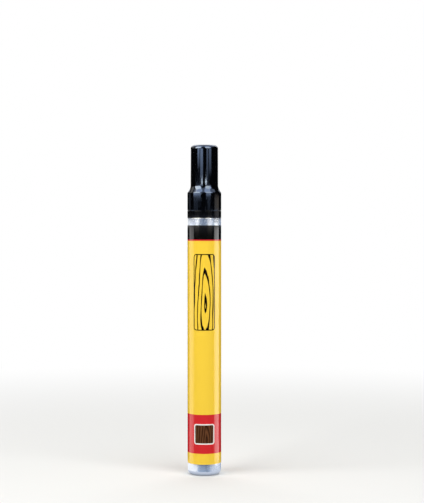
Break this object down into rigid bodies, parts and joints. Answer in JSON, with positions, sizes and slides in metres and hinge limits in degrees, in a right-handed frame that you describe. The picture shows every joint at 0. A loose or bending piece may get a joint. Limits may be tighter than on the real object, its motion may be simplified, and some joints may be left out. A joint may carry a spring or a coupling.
{
  "type": "wood stain marker",
  "caption": "Valve-action wood stain marker: aluminium barrel in a yellow wrap label with black and red bands, spring-backed felt nib, and a stepped glossy black pull-off cap.",
  "frame": {"origin": "centre of the barrel's base, on the surface that the marker stands on", "axes": "+Z along the marker's axis from the base to the cap, -Y the side that the picture shows, +Y the label's seam"},
  "size_m": [0.0146, 0.0146, 0.1423],
  "materials": {
    "aluminium_tube": "drawn, clear lacquered",
    "printed_film": "printed yellow film with black and red bands",
    "steel_ball": "polished",
    "black_polypropylene": "moulded, semi-gloss",
    "polyester_felt": "ground fibre",
    "black_gloss_plastic": "moulded, high gloss",
    "natural_polyethylene": "moulded, natural",
    "nitrile_rubber": "moulded",
    "natural_acetal": "moulded, natural",
    "stainless_wire": "drawn wire",
    "natural_polypropylene": "moulded, natural"
  },
  "bodies": {
    "barrel_body": {"barrel": "aluminium_tube", "wrap_label": "printed_film", "nib_holder": "black_polypropylene", "valve_gasket": "nitrile_rubber", "valve_cage": "natural_polypropylene", "valve_spring": "stainless_wire"},
    "nib_body": {"felt_nib": "polyester_felt"},
    "plunger_body": {"valve_plunger": "natural_acetal"},
    "ball_body": {"mixing_ball": "steel_ball"},
    "cap_body": {"cap_shell": "black_gloss_plastic", "cap_inner_seal": "natural_polyethylene"}
  },
  "joints": [
    {"name": "cap_pull", "type": "slide", "parent": "barrel_body", "child": "cap_body", "axis": [0, 0, 1], "range_m": [0, 0.03]},
    {"name": "nib_press", "type": "slide", "parent": "barrel_body", "child": "nib_body", "axis": [0, 0, -1], "range_m": [0, 0.0025], "stiffness_N_per_m": 400, "springref_m": -0.002, "deforming": ["valve_spring"]},
    {"name": "valve_open", "type": "slide", "parent": "barrel_body", "child": "plunger_body", "axis": [0, 0, -1], "range_m": [0, 0.0025]},
    {"name": "ball_travel", "type": "slide", "parent": "barrel_body", "child": "ball_body", "axis": [0, 0, 1], "range_m": [0, 0.083]}
  ],
  "couplings": [
    {"joint": "valve_open", "follows": "nib_press", "ratio": 1}
  ]
}
